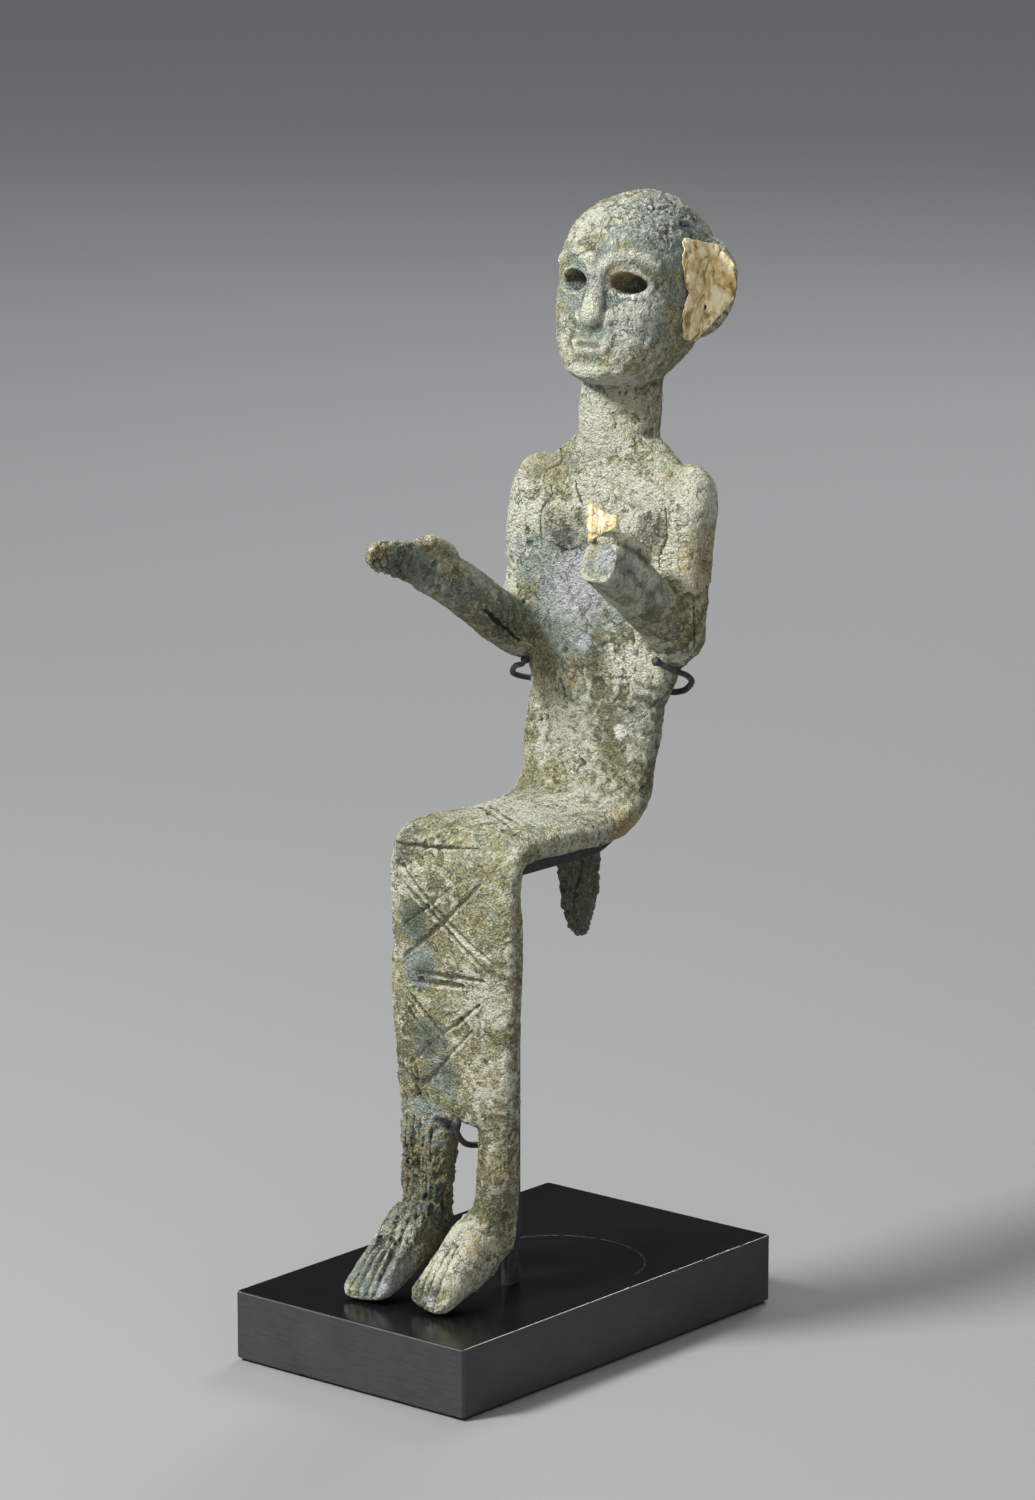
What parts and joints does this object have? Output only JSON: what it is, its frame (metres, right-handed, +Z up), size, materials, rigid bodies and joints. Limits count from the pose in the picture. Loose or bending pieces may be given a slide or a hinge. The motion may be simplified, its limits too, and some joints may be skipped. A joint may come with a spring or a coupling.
{
  "type": "bronze age figurine",
  "caption": "Seated woman cast in bronze, an open palm held out and a closed fist, gold leaf left on one ear, on a steel cradle and a black stone base.",
  "frame": {"origin": "centre of the felt's underside, where the base stands", "axes": "+Z up, -Y the way the figure faces, +X the figure's left; the base is long along Y"},
  "size_m": [0.0604, 0.1069, 0.2335],
  "materials": {
    "bronze": "mineralised and matt, mottled khaki, grey and green patina",
    "gold": "crumpled leaf, satin, dusty",
    "armature": "satin black paint",
    "stone": "polished top, honed sides",
    "felt": "matt felt"
  },
  "bodies": {
    "root": {"figure": "bronze", "gold_leaf_ear": "gold", "gold_leaf_fist": "gold", "support_armature": "armature", "display_base": "stone", "base_felt": "felt"}
  },
  "joints": []
}
